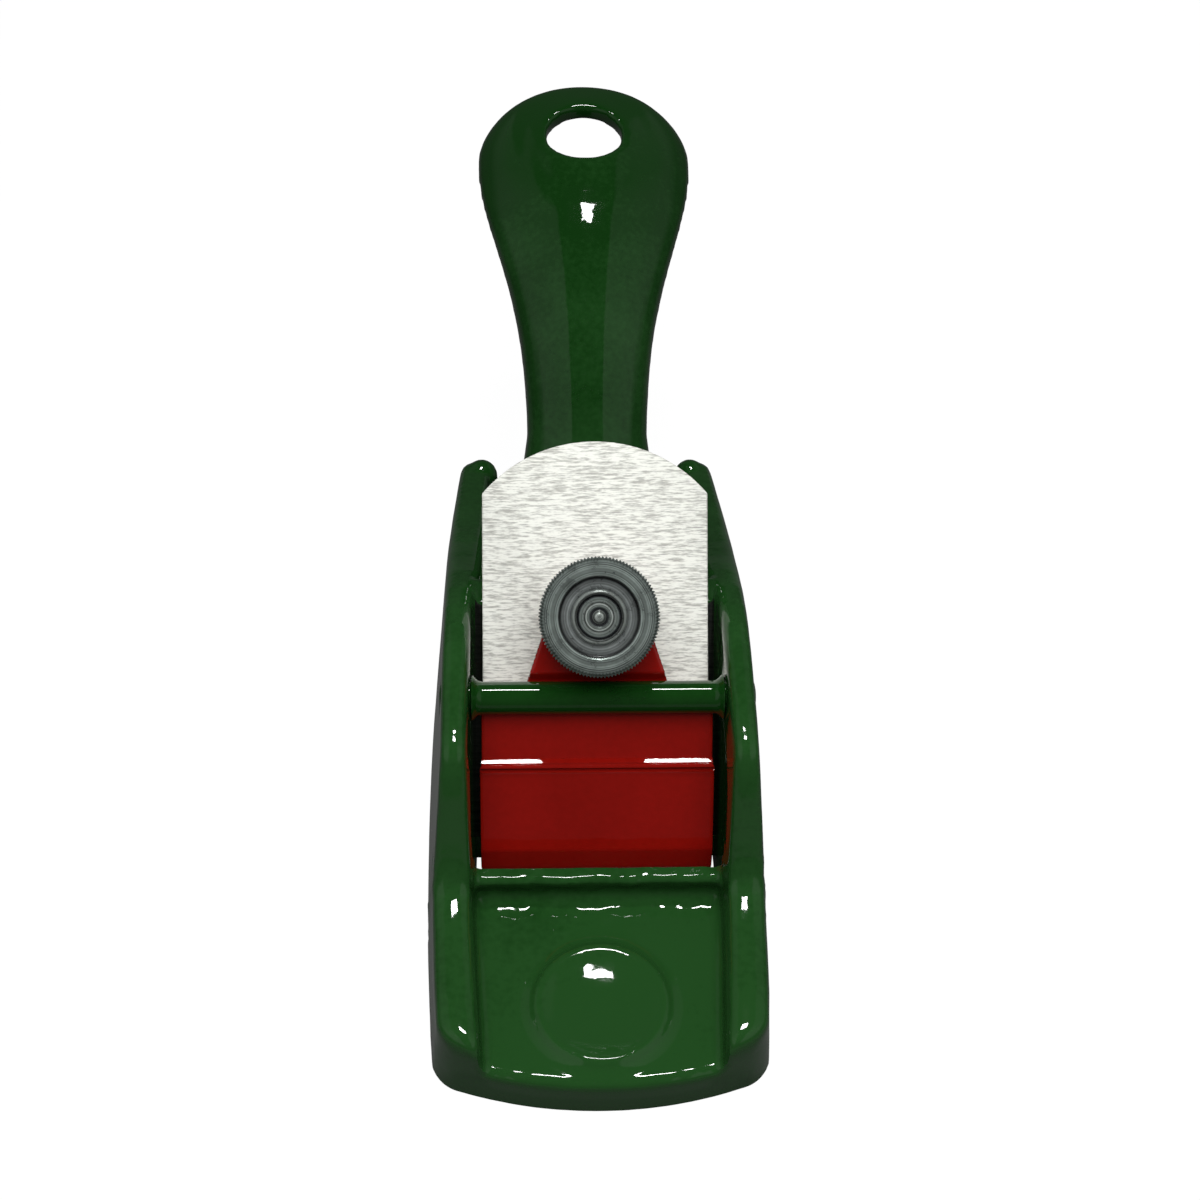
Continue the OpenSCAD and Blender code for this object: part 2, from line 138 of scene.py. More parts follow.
def pick_faces(piece, test):
    bpy.ops.object.mode_set(mode="EDIT")
    bpy.ops.mesh.select_mode(type="FACE")
    bpy.ops.mesh.select_all(action="DESELECT")
    bpy.ops.object.mode_set(mode="OBJECT")
    for face in piece.data.polygons:
        face.select = test(face)
    bpy.ops.object.mode_set(mode="EDIT")


def pick_edges(piece, test):
    bpy.ops.object.mode_set(mode="EDIT")
    bpy.ops.mesh.select_mode(type="EDGE")
    bpy.ops.mesh.select_all(action="DESELECT")
    bpy.ops.object.mode_set(mode="OBJECT")
    points = piece.data.vertices
    for edge in piece.data.edges:
        edge.select = test(points[edge.vertices[0]].co, points[edge.vertices[1]].co)
    bpy.ops.object.mode_set(mode="EDIT")


def closed_copy(node, name):
    """A welded copy of one of the model's solids, to be shaped further."""
    piece = bpy.data.objects.new(name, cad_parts[node].data.copy())
    bpy.context.scene.collection.objects.link(piece)
    piece.data.name = name
    piece.data.materials.clear()
    pick(piece)
    edit("SELECT")
    bpy.ops.mesh.remove_doubles(threshold=0.002 * MM)
    bpy.ops.mesh.normals_make_consistent(inside=False)
    done_editing()
    return piece


def reskin(piece, voxel, rounds, factor=0.5):
    """Gives a casting one even skin and softens its edges as thick enamel does."""
    pick(piece)
    skin = piece.modifiers.new("Skin", "REMESH")
    skin.mode = "VOXEL"
    skin.voxel_size = voxel
    skin.use_smooth_shade = True
    bpy.ops.object.modifier_apply(modifier=skin.name)
    soften = piece.modifiers.new("Soften", "SMOOTH")
    soften.factor = factor
    soften.iterations = rounds
    bpy.ops.object.modifier_apply(modifier=soften.name)


def weighted(piece, name, share):
    """A named group in which each point has its own share."""
    group = piece.vertex_groups.new(name=name)
    for point in piece.data.vertices:
        group.add([point.index], share(point.co), "REPLACE")


def rise(value, start, end):
    """0 at the start, 1 at the end, and smooth between them."""
    share = min(max((value - start) / (end - start), 0), 1)
    return share * share * (3 - 2 * share)


def soften_group(piece, group, rounds):
    pick(piece)
    soften = piece.modifiers.new("Soften", "SMOOTH")
    soften.factor = 0.5
    soften.iterations = rounds
    soften.vertex_group = group
    bpy.ops.object.modifier_apply(modifier=soften.name)


def lumps(piece, size, height, group=None):
    """Slow waves in the thickness of the paint."""
    pick(piece)
    clouds = bpy.data.textures.new(piece.name + "_waves", type="CLOUDS")
    clouds.noise_scale = size
    clouds.noise_depth = 1
    waves = piece.modifiers.new("Waves", "DISPLACE")
    waves.texture = clouds
    waves.texture_coords = "LOCAL"
    waves.strength = height
    waves.mid_level = 0.5
    if group:
        waves.vertex_group = group
    bpy.ops.object.modifier_apply(modifier=waves.name)


def cut(piece, cutter, operation="DIFFERENCE"):
    """Takes a closed cutter out of a piece, or adds it, and the fresh faces keep the cutter's finish."""
    pick(piece)
    saw = piece.modifiers.new("Cut", "BOOLEAN")
    saw.operation = operation
    saw.solver = "EXACT"
    saw.object = cutter
    saw.material_mode = "TRANSFER"
    bpy.ops.object.modifier_apply(modifier=saw.name)
    bpy.data.objects.remove(cutter)


def along_blade(s, n):
    """The (y, z) of a place s mm up the blade and n mm above its upper face."""
    return (EDGE_Y + (s - n) * SQ * MM, (s + n) * SQ * MM)


def onto_blade(piece, place=SCREW_S):
    """Moves a piece drawn upright at the origin to the screw's axis, square to the blade."""
    pick(piece)
    piece.rotation_euler = (BED_TILT, 0, 0)
    piece.location = (0, EDGE_Y + place * SQ, place * SQ)
    settle()


# Finishes
def finish_named(name):
    material = bpy.data.materials.new(name)
    material.use_nodes = True
    return material, material.node_tree.nodes, material.node_tree.links


def object_place(nodes, links, centre=(0, 0, 0), turn=(0, 0, 0), stretch=(1, 1, 1)):
    """Object coordinates, centred on a place, turned, and then stretched."""
    source = nodes.new("ShaderNodeTexCoord")
    centred = nodes.new("ShaderNodeMapping")
    centred.inputs["Location"].default_value = (-centre[0], -centre[1], -centre[2])
    links.new(source.outputs["Object"], centred.inputs["Vector"])
    turned = nodes.new("ShaderNodeMapping")
    turned.inputs["Rotation"].default_value = turn
    links.new(centred.outputs["Vector"], turned.inputs["Vector"])
    scaled = nodes.new("ShaderNodeMapping")
    scaled.inputs["Scale"].default_value = stretch
    links.new(turned.outputs["Vector"], scaled.inputs["Vector"])
    return scaled.outputs["Vector"]


def noise(nodes, links, place, scale, detail=2.0, rough=0.5):
    field = nodes.new("ShaderNodeTexNoise")
    field.inputs["Scale"].default_value = scale
    field.inputs["Detail"].default_value = detail
    field.inputs["Roughness"].default_value = rough
    links.new(place, field.inputs["Vector"])
    return field.outputs["Fac"]


def ramp(nodes, links, source, stops):
    """Blends between colours at named positions."""
    band = nodes.new("ShaderNodeValToRGB")
    steps = band.color_ramp.elements
    steps[0].position = stops[0][0]
    steps[0].color = (*stops[0][1], 1)
    steps[1].position = stops[-1][0]
    steps[1].color = (*stops[-1][1], 1)
    for position, colour in stops[1:-1]:
        step = steps.new(position)
        step.color = (*colour, 1)
    links.new(source, band.inputs["Fac"])
    return band.outputs["Color"]


def spread(nodes, links, source, low, high, from_low=0.0, from_high=1.0):
    """Carries a field from one range to another."""
    scale = nodes.new("ShaderNodeMapRange")
    scale.inputs["From Min"].default_value = from_low
    scale.inputs["From Max"].default_value = from_high
    scale.inputs["To Min"].default_value = low
    scale.inputs["To Max"].default_value = high
    links.new(source, scale.inputs["Value"])
    return scale.outputs["Result"]


def bump(nodes, links, height, distance, strength=1.0, under=None):
    relief = nodes.new("ShaderNodeBump")
    relief.inputs["Strength"].default_value = strength
    relief.inputs["Distance"].default_value = distance
    links.new(height, relief.inputs["Height"])
    if under:
        links.new(under, relief.inputs["Normal"])
    return relief.outputs["Normal"]


def gloss_enamel(name, deep, full, wave=0.00002, peel=0.000006, light_falloff=0.0):
    """Thick dipped enamel: deep colour, a hard gloss, slow waves and a fine orange peel, and with
    light_falloff a painted falloff of light, lighter towards the toe and darker towards the tail.
    """
    material, nodes, links = finish_named(name)
    shader = nodes["Principled BSDF"]
    place = object_place(nodes, links)
    drift = noise(nodes, links, place, 90, 3.0)
    speckle = noise(nodes, links, place, 1400, 2.0)
    tone = nodes.new("ShaderNodeMath")
    tone.operation = "MULTIPLY_ADD"
    tone.inputs[1].default_value = 0.4
    links.new(speckle, tone.inputs[0])
    links.new(spread(nodes, links, drift, 0.0, 0.6), tone.inputs[2])
    parts = nodes.new("ShaderNodeSeparateXYZ")
    links.new(place, parts.inputs["Vector"])
    # Painted light: the tone rises towards the toe and falls towards the tail, a painted falloff of light.
    falloff_tone = nodes.new("ShaderNodeMath")
    falloff_tone.operation = "ADD"
    links.new(tone.outputs["Value"], falloff_tone.inputs[0])
    links.new(spread(nodes, links, parts.outputs["Y"], light_falloff, -light_falloff, -0.045, 0.085), falloff_tone.inputs[1])
    colour = ramp(nodes, links, falloff_tone.outputs["Value"], [(0.3, deep), (0.7, full)])
    links.new(colour, shader.inputs["Base Color"])
    links.new(spread(nodes, links, noise(nodes, links, place, 260), 0.025, 0.06), shader.inputs["Roughness"])
    waves = bump(nodes, links, noise(nodes, links, place, 320, 1.0), wave)
    skin = bump(nodes, links, noise(nodes, links, place, 1100, 1.0), peel, 1.0, waves)
    links.new(skin, shader.inputs["Normal"])
    shader.inputs["IOR"].default_value = 1.48
    return material


def ground_steel(name, dark, light, turn, stretch, rough_low, rough_high, metal=1.0, depth=0.00001,
                 low=0.32, high=0.6):
    """Ground or milled metal with fine lines one way."""
    material, nodes, links = finish_named(name)
    shader = nodes["Principled BSDF"]
    place = object_place(nodes, links, turn=turn, stretch=stretch)
    lines = noise(nodes, links, place, 1.0, 3.0, 0.6)
    colour = ramp(nodes, links, lines, [(low, dark), (high, light)])
    links.new(colour, shader.inputs["Base Color"])
    links.new(spread(nodes, links, lines, rough_high, rough_low, 0.3, 0.7), shader.inputs["Roughness"])
    links.new(bump(nodes, links, lines, depth, 0.6), shader.inputs["Normal"])
    shader.inputs["Metallic"].default_value = metal
    return material


def turned_steel(name, zones, rings, rough_low, rough_high):
    """Dark lathe-turned steel: bands of tone by radius, with fine rings about the screw's axis."""
    material, nodes, links = finish_named(name)
    shader = nodes["Principled BSDF"]
    centre = (0, EDGE_Y + SCREW_S * SQ, SCREW_S * SQ)
    place = object_place(nodes, links, centre=centre, turn=(-BED_TILT, 0, 0))
    parts = nodes.new("ShaderNodeSeparateXYZ")
    links.new(place, parts.inputs["Vector"])
    flat = nodes.new("ShaderNodeCombineXYZ")
    links.new(parts.outputs["X"], flat.inputs["X"])
    links.new(parts.outputs["Y"], flat.inputs["Y"])
    reach = nodes.new("ShaderNodeVectorMath")
    reach.operation = "LENGTH"
    links.new(flat.outputs["Vector"], reach.inputs[0])
    around = nodes.new("ShaderNodeCombineXYZ")
    links.new(spread(nodes, links, reach.outputs["Value"], 0, rings, 0, 1), around.inputs["X"])
    grooves = noise(nodes, links, around.outputs["Vector"], 1.0, 2.0, 0.7)
    stain = noise(nodes, links, place, 520, 4.0, 0.6)
    bands = ramp(nodes, links, spread(nodes, links, reach.outputs["Value"], 0, 1, 0, 6.5 * MM), [
        (radius / 6.5, colour) for radius, colour in zones])
    scored = nodes.new("ShaderNodeMath")
    scored.operation = "MULTIPLY"
    links.new(spread(nodes, links, grooves, 0.1, 1.9, 0.38, 0.62), scored.inputs[0])
    links.new(spread(nodes, links, stain, 0.7, 1.25, 0.3, 0.7), scored.inputs[1])
    toned = nodes.new("ShaderNodeVectorMath")
    toned.operation = "SCALE"
    links.new(bands, toned.inputs[0])
    links.new(scored.outputs["Value"], toned.inputs["Scale"])
    links.new(toned.outputs["Vector"], shader.inputs["Base Color"])
    links.new(spread(nodes, links, stain, rough_low, rough_high, 0.3, 0.7), shader.inputs["Roughness"])
    links.new(bump(nodes, links, grooves, 0.00005, 0.9), shader.inputs["Normal"])
    shader.inputs["Metallic"].default_value = 0.6
    return material


# The body's green carries a painted falloff of light: lighter at the toe, darker at the tail.
green_enamel = gloss_enamel(
    "green_enamel", (0.0038, 0.029, 0.0034), (0.0122, 0.055, 0.0112), light_falloff=0.26)
# The bar is painted with the body; this darker copy of the green is painted shade.
bar_enamel = gloss_enamel("green_bar_enamel", (0.0036, 0.028, 0.0034), (0.0052, 0.038, 0.0046))
red_enamel = gloss_enamel("red_enamel", (0.195, 0.004, 0.002), (0.24, 0.005, 0.003), 0.00001, 0.000003)
sole_iron = ground_steel(
    "ground_sole_iron", (0.30, 0.30, 0.29), (0.46, 0.46, 0.44), (0, 0, 0), (3200, 260, 800), 0.3, 0.45)
# The bed's bare milled iron is painted near black: painted shade in the deep gap beside the blade.
shade_darkened_bed_iron = ground_steel(
    "milled_bed_painted_shade", (0.04, 0.045, 0.04), (0.09, 0.095, 0.085), (0, 0, 0), (500, 2600, 2600), 0.35, 0.55)
blade_steel = ground_steel(
    "ground_blade_steel", (0.40, 0.40, 0.365), (0.80, 0.81, 0.75), (-BED_TILT, 0, 0), (760, 5400, 5400),
    0.38, 0.55, 0.2, 0.000012, 0.36, 0.56)
PALE_STEEL = (0.27, 0.30, 0.28)
LAND_STEEL = (0.17, 0.20, 0.185)
# A darker tone, used in the head's recess and at the edge of its bore.
DARKER_STEEL = (0.145, 0.16, 0.156)
# Near black painted shade in the stud's turned groove and at its edge inside the head's bore.
PAINTED_GROOVE_SHADE = (0.02, 0.022, 0.024)
head_steel = turned_steel("turned_head_steel", [
    (0.0, PALE_STEEL), (2.36, DARKER_STEEL), (2.5, PALE_STEEL), (2.8, PALE_STEEL), (2.95, DARKER_STEEL),
    (4.15, DARKER_STEEL), (4.32, LAND_STEEL), (6.5, LAND_STEEL)], 2600, 0.22, 0.38)
stud_steel = turned_steel("turned_stud_steel", [
    (0.0, PALE_STEEL), (0.55, PALE_STEEL), (0.78, PAINTED_GROOVE_SHADE), (0.95, PAINTED_GROOVE_SHADE), (1.08, LAND_STEEL),
    (1.4, PALE_STEEL), (1.95, LAND_STEEL), (2.12, PAINTED_GROOVE_SHADE), (2.3, PAINTED_GROOVE_SHADE), (2.55, LAND_STEEL)],
    4200, 0.22, 0.38)


# The body
def box_cutter(name, corners_low, corners_high, finish):
    low = Vector(corners_low)
    high = Vector(corners_high)
    bpy.ops.mesh.primitive_cube_add(size=1, location=(low + high) / 2)
    piece = named(name)
    piece.scale = high - low
    settle()
    piece.data.materials.append(finish)
    return piece


def prism(name, outline, half):
    """A side view, as (y, z) points, drawn on one side of the plane and extruded across it."""
    bpy.ops.mesh.primitive_circle_add(vertices=len(outline), radius=MM, fill_type="NGON")
    piece = named(name)
    for corner, (y, z) in zip(piece.data.vertices, outline):
        corner.co = (-half, y, z)
    edit("SELECT")
    bpy.ops.mesh.extrude_region_move(TRANSFORM_OT_translate={"value": (2 * half, 0, 0)})
    bpy.ops.mesh.select_all(action="SELECT")
    bpy.ops.mesh.normals_make_consistent(inside=False)
    done_editing()
    return piece


def well_cutter():
    """The throat and the blade's well: enamelled sides, and the bed's plane milled bare, its iron painted
    near black as shade.
    """
    ridge_back = MOUTH_Y + 0.95 * MM
    reach = 60 * MM
    piece = prism("well_cutter", [
        (MOUTH_Y, -3 * MM), (MOUTH_Y, 4.8 * MM), (ridge_back, 8.2 * MM), (ridge_back, reach),
        (BED_FOOT_Y + reach, reach), (MOUTH_BACK_Y, MOUTH_BACK_Y - BED_FOOT_Y),
        (MOUTH_BACK_Y, -3 * MM)], WELL_HALF)
    piece.data.materials.append(green_enamel)
    piece.data.materials.append(shade_darkened_bed_iron)
    for face in piece.data.polygons:
        face.material_index = 1 if face.normal.y > 0.3 and face.normal.z < -0.3 else 0
    return piece


def ridge_crest():
    """Keeps the ridge full height up to the well's cut, which trims it."""
    bpy.ops.mesh.primitive_cube_add(size=1, location=(0, MOUTH_Y + 0.7 * MM, 7.44 * MM))
    crest = named("ridge_crest")
    crest.scale = (26.6 * MM, 2.0 * MM, 1.96 * MM)
    settle()
    edit("SELECT")
    bpy.ops.mesh.bevel(offset=0.35 * MM, segments=3)
    done_editing()
    return crest


def level_toe_walls(place):
    """Their tops run level to the nose."""
    place.z += 0.7 * MM * rise(place.y, -27 * MM, -39 * MM) * rise(place.z, 6 * MM, 8.2 * MM)


def lean_ridge(place):
    """The ridge's front leans over a tight foot, with a low welt of enamel along it."""
    beside = rise(place.y, -26 * MM, -24.6 * MM) * rise(place.y, -21 * MM, -21.9 * MM)
    between_walls = rise(abs(place.x), 14.5 * MM, 13.5 * MM)
    lean = (0.6 - 0.85 * rise(place.z, 5.8 * MM, 8 * MM)) * MM
    place.y += lean * beside * rise(place.z, 10 * MM, 9 * MM) * between_walls
    welt = math.exp(-((place.y - FOOT_Y) / (0.55 * MM)) ** 2) * rise(abs(place.x), 13 * MM, 11 * MM)
    place.z += 0.17 * MM * welt * rise(place.z, 8.6 * MM, 7.4 * MM) * rise(place.z, 4 * MM, 5 * MM)


def ease_hump(place):
    """Takes the corner off the walls' tops where the slope meets the hump."""
    corner = max(1 - abs(place.y - HUMP_CORNER_Y) / (4.5 * MM), 0)
    place.z -= 0.125 * MM * corner ** 2 * rise(place.z, 20 * MM, 22 * MM)


def thin_plate(place):
    """The tail's plate thins from below towards its hanging hole."""
    apart = place - HOLE_TOP
    depth = apart.dot(HOLE_AXIS)
    reach = (apart - depth * HOLE_AXIS).length
    place += 1.8 * MM * rise(depth, -1 * MM, -4 * MM) * rise(reach, 16 * MM, 6.5 * MM) * HOLE_AXIS


def ridge_share(place):
    along = rise(place.y, -26 * MM, -24.5 * MM) * rise(place.y, -20 * MM, -21 * MM)
    return along * rise(place.z, 13 * MM, 10 * MM)


def toe_share(place):
    return rise(place.y, -22 * MM, -26 * MM) * rise(place.z, 12 * MM, 9 * MM)


def tail_share(place):
    return rise(place.y, 44 * MM, 52 * MM)


def green_body():
    """The casting: one thick enamelled skin, with the sole, the well and the bar's holes cut after it."""
    body = closed_copy("body_casting", "green_body")
    pick_faces(body, lambda face: face.normal.z < -0.9 and face.center.z < 0.01 * MM)
    bpy.ops.mesh.extrude_region_move(TRANSFORM_OT_translate={"value": (0, 0, -SOLE_SPARE)})
    done_editing()
    extras = []
    for side in (-1, 1):
        bpy.ops.mesh.primitive_cylinder_add(
            vertices=32, radius=2.2 * MM, depth=2.6 * MM, location=(side * 15.05 * MM, BAR_Y, BAR_Z),
            rotation=(0, math.radians(90), 0))
        extras.append(named("bar_plug"))
        settle()
    extras.append(ridge_crest())
    join_onto(body, extras)
    reskin(body, BODY_SKIN, 3)
    for point in body.data.vertices:
        level_toe_walls(point.co)
        lean_ridge(point.co)
        ease_hump(point.co)
        thin_plate(point.co)
    weighted(body, "tail", tail_share)
    soften_group(body, "tail", 12)
    weighted(body, "ridge", ridge_share)
    weighted(body, "toe", toe_share)
    lumps(body, 11 * MM, 0.1 * MM)
    lumps(body, 1.6 * MM, 0.28 * MM, "ridge")
    lumps(body, 1.6 * MM, 0.02 * MM, "toe")
    for point in body.data.vertices:
        point.co.y = max(point.co.y, cad_box[0][1])
    body.data.materials.append(green_enamel)
    cut(body, box_cutter("sole_cutter", (-30 * MM, -60 * MM, -4 * MM), (30 * MM, 100 * MM, 0), sole_iron))
    cut(body, well_cutter())
    for side in (-1, 1):
        bpy.ops.mesh.primitive_cylinder_add(
            vertices=48, radius=BAR_R + 0.01 * MM, depth=6 * MM, location=(side * WALL_MIDDLE, BAR_Y, BAR_Z),
            rotation=(0, math.radians(90), 0))
        drill = named("bar_drill")
        settle()
        drill.data.materials.append(green_enamel)
        cut(body, drill)
    pick(body)
    bpy.ops.object.shade_smooth_by_angle(angle=math.radians(38))
    return body


# Turned pieces: one ring is drawn and then extruded and resized along a profile
def follow(profile, radius, height, rounded_at=None):
    """Carries the picked ring on through (radius, height) points, a true circle from one of them."""
    for step, (next_radius, next_height) in enumerate(profile):
        bpy.ops.mesh.extrude_region_move(TRANSFORM_OT_translate={"value": (0, 0, next_height - height)})
        change = next_radius / radius
        bpy.ops.transform.resize(value=(change, change, 1))
        if step == rounded_at:
            bpy.ops.transform.tosphere(value=1.0)
        radius, height = next_radius, next_height


def turned(name, vertices, profile):
    """A closed solid of revolution about Z through (radius, height) points."""
    radius, height = profile[0]
    bpy.ops.mesh.primitive_circle_add(
        vertices=vertices, radius=radius, location=(0, 0, 0), fill_type="NOTHING")
    piece = named(name)
    edit("SELECT")
    bpy.ops.transform.translate(value=(0, 0, height))
    follow(profile[1:], radius, height)
    bpy.ops.mesh.select_all(action="SELECT")
    bpy.ops.mesh.remove_doubles(threshold=0.001 * MM)
    bpy.ops.mesh.select_all(action="DESELECT")
    bpy.ops.mesh.select_mode(type="EDGE")
    bpy.ops.mesh.select_non_manifold()
    if bpy.context.active_object.data.total_edge_sel:
        bpy.ops.mesh.fill_holes(sides=0)
    bpy.ops.mesh.select_all(action="SELECT")
    bpy.ops.mesh.normals_make_consistent(inside=False)
    done_editing()
    return piece


def cross_bar():
    """A riveted pin, painted with the body: a small domed end and a meniscus of enamel at each wall."""
    half = BAR_HALF
    wall = 13.25 * MM
    profile = [(0.35 * MM, -half - 0.06 * MM), (1.1 * MM, -half - 0.02 * MM), (1.55 * MM, -half + 0.08 * MM),
               (BAR_R, -half + 0.3 * MM), (BAR_R, -wall - 0.3 * MM), (2.45 * MM, -wall - 0.1 * MM),
               (2.35 * MM, -wall + 0.06 * MM), (2.02 * MM, -wall + 0.3 * MM), (1.83 * MM, -wall + 0.6 * MM),
               (BAR_R, -wall + 1.0 * MM), (BAR_R, -9 * MM), (BAR_R, -4 * MM)]
    mirrored = [(radius, -height) for radius, height in reversed(profile)]
    bar = turned("riveted_cross_bar", 48, profile + mirrored)
    bar.rotation_euler = (0, math.radians(90), 0)
    bar.location = (0, BAR_Y, BAR_Z)
    settle()
    # The bar's darker green is painted shade.
    bar.data.materials.append(bar_enamel)
    bpy.ops.object.shade_smooth_by_angle(angle=math.radians(50))
    return bar


def plane_blade():
    """The ground blade: crisp faces with the arrises just taken off, and a keen cutting edge."""
    blade = closed_copy("blade", "plane_blade")
    edit("SELECT")
    bpy.ops.mesh.dissolve_limited(angle_limit=math.radians(1))
    done_editing()
    edge_z = 0.6 * MM

    def arris(a, b):
        return min(a.z, b.z) > edge_z or abs(a.x - b.x) < 0.01 * MM

    pick_edges(blade, arris)
    done_editing()
    lines = blade.data.attributes.get("bevel_weight_edge")
    if lines is None:
        lines = blade.data.attributes.new("bevel_weight_edge", "FLOAT", "EDGE")
    for edge, line in zip(blade.data.edges, lines.data):
        line.value = 1.0 if edge.select else 0.0
    sides = {}
    for face in blade.data.polygons:
        for key in face.edge_keys:
            sides.setdefault(key, []).append(face.normal)
    for edge, line in zip(blade.data.edges, lines.data):
        normals = sides.get(tuple(sorted(edge.vertices)), [])
        if len(normals) == 2 and normals[0].angle(normals[1]) < math.radians(30):
            line.value = 0.0
    ease = blade.modifiers.new("Arris", "BEVEL")
    ease.limit_method = "WEIGHT"
    ease.width = 0.14 * MM
    ease.segments = 2
    bpy.ops.object.modifier_apply(modifier=ease.name)
    bpy.ops.object.shade_smooth_by_angle(angle=math.radians(25))
    blade.data.materials.append(blade_steel)
    return blade


def lever_cap():
    """The red casting: edges softened by paint, bead and lip kept."""
    cap = closed_copy("lever_cap", "red_lever_cap")
    reskin(cap, CAP_SKIN, 4)
    lumps(cap, 5 * MM, 0.05 * MM)
    cap.data.materials.append(red_enamel)
    bead = prism("cap_bead", [along_blade(s, n) for s, n in [
        (16.15, 3.9), (16.15, 4.4), (16.45, 4.85), (16.8, 4.92), (17.24, 4.634), (17.3, 3.9)]], 12.45 * MM)
    bead.data.materials.append(red_enamel)
    cut(cap, bead, operation="UNION")
    groove = prism("bead_groove", [along_blade(s, n) for s, n in [
        (15.25, 4.828), (15.97, 4.36), (16.05, 4.36), (16.3, 5.1), (16.3, 6.5), (15.25, 6.5)]], 14 * MM)
    groove.data.materials.append(red_enamel)
    cut(cap, groove)
    pick(cap)
    bpy.ops.object.shade_smooth_by_angle(angle=math.radians(24))
    return cap


def thumbscrew_head():
    """The knurled wheel: one bevelled tooth form all round, a turned recess and a raised ring."""
    bpy.ops.mesh.primitive_circle_add(
        vertices=2 * TEETH, radius=TOOTH_TIP, location=(0, 0, 0), fill_type="NOTHING")
    head = named("knurled_head")
    edit("SELECT")
    bpy.ops.transform.translate(value=(0, 0, HEAD_LOW + HEAD_BEVEL))
    done_editing()
    for i, point in enumerate(head.data.vertices):
        point.select = i % 2 == 1
    for line in head.data.edges:
        line.select = False
    bpy.ops.object.mode_set(mode="EDIT")
    bpy.ops.mesh.select_mode(type="VERT")
    bpy.ops.transform.resize(value=(TOOTH_ROOT / TOOTH_TIP, TOOTH_ROOT / TOOTH_TIP, 1))
    bpy.ops.mesh.select_all(action="SELECT")
    bpy.ops.mesh.extrude_region_move(
        TRANSFORM_OT_translate={"value": (0, 0, HEAD_TOP - HEAD_LOW - 2 * HEAD_BEVEL)})
    upward = [(5.93, 13.16), (5.8, 13.2), (5.2, 13.2), (4.5, 13.2), (4.34, 13.12), (4.26, 12.9), (4.2, 12.5),
              (4.05, 12.42), (3.4, 12.42), (2.95, 12.42), (2.86, 12.52), (2.82, 12.72), (2.7, 12.78),
              (2.5, 12.78), (2.4, 12.7), (2.35, 12.5), (2.35, 12.0), (2.35, 8.0)]
    follow([(r * MM, h * MM) for r, h in upward], TOOTH_TIP, HEAD_TOP - HEAD_BEVEL, rounded_at=1)
    bpy.ops.mesh.select_all(action="DESELECT")
    done_editing()
    for point in head.data.vertices:
        point.select = abs(point.co.z - HEAD_LOW - HEAD_BEVEL) < 0.01 * MM
    for line in head.data.edges:
        line.select = all(head.data.vertices[v].select for v in line.vertices)
    bpy.ops.object.mode_set(mode="EDIT")
    downward = [(5.93, 8.04), (5.8, 8.0), (2.9, 8.0), (2.35, 8.0)]
    follow([(r * MM, h * MM) for r, h in downward], TOOTH_TIP, HEAD_LOW + HEAD_BEVEL, rounded_at=1)
    bpy.ops.mesh.select_all(action="SELECT")
    bpy.ops.mesh.remove_doubles(threshold=0.02 * MM)
    bpy.ops.mesh.normals_make_consistent(inside=False)
    done_editing()
    head.data.materials.append(head_steel)
    onto_blade(head)
    bpy.ops.object.shade_smooth_by_angle(angle=math.radians(24))
    return head


def thumbscrew_stud():
    """The shank, smooth to the eye, with its turned end that shows in the middle of the head."""
    shank = turned("threaded_stud", 48, [
        (0.3 * MM, 0.03 * MM), (1.35 * MM, 0.03 * MM), (2.15 * MM, 0.8 * MM), (2.15 * MM, 7.6 * MM),
        (2.45 * MM, 7.65 * MM), (2.45 * MM, 7.95 * MM), (2.3 * MM, 7.95 * MM), (2.3 * MM, 12.3 * MM),
        (2.22 * MM, 12.42 * MM), (1.9 * MM, 12.5 * MM), (1.5 * MM, 12.47 * MM), (1.45 * MM, 12.52 * MM),
        (1.1 * MM, 12.55 * MM), (0.95 * MM, 12.47 * MM), (0.8 * MM, 12.45 * MM), (0.62 * MM, 12.55 * MM),
        (0.5 * MM, 12.72 * MM), (0.3 * MM, 12.82 * MM), (0.1 * MM, 12.84 * MM)])
    # The thread's turns are a flat band that lies inside the shank, so they don't show
    bpy.ops.mesh.primitive_circle_add(vertices=3, radius=0.3 * MM, location=(0, 0, 0), fill_type="NOTHING")
    thread = named("thread")
    edit("SELECT")
    bpy.ops.transform.rotate(value=math.radians(90), orient_axis="X", center_override=(0, 0, 0))
    bpy.ops.transform.translate(value=(2.2 * MM, 0, 0.75 * MM))
    done_editing()
    middle = sum((v.co.z for v in thread.data.vertices)) / 3
    for vertex in thread.data.vertices:
        vertex.co.x = BAND_RADIUS
        vertex.co.z = middle + math.copysign(BAND_HALF, vertex.co.z - middle)
    helix = thread.modifiers.new("Helix", "SCREW")
    helix.axis = "Z"
    helix.angle = math.radians(360)
    helix.screw_offset = THREAD_PITCH
    helix.iterations = 8
    helix.steps = 28
    helix.render_steps = 28
    bpy.ops.object.modifier_apply(modifier=helix.name)
    edit("SELECT")
    bpy.ops.mesh.remove_doubles(threshold=0.0005 * MM)
    bpy.ops.mesh.select_all(action="DESELECT")
    bpy.ops.mesh.select_mode(type="EDGE")
    bpy.ops.mesh.select_non_manifold()
    bpy.ops.mesh.fill_holes(sides=4)
    bpy.ops.mesh.select_all(action="SELECT")
    bpy.ops.mesh.normals_make_consistent(inside=False)
    done_editing()
    join_onto(shank, [thread])
    shank.data.materials.append(stud_steel)
    onto_blade(shank)
    bpy.ops.object.shade_smooth_by_angle(angle=math.radians(30))
    return shank


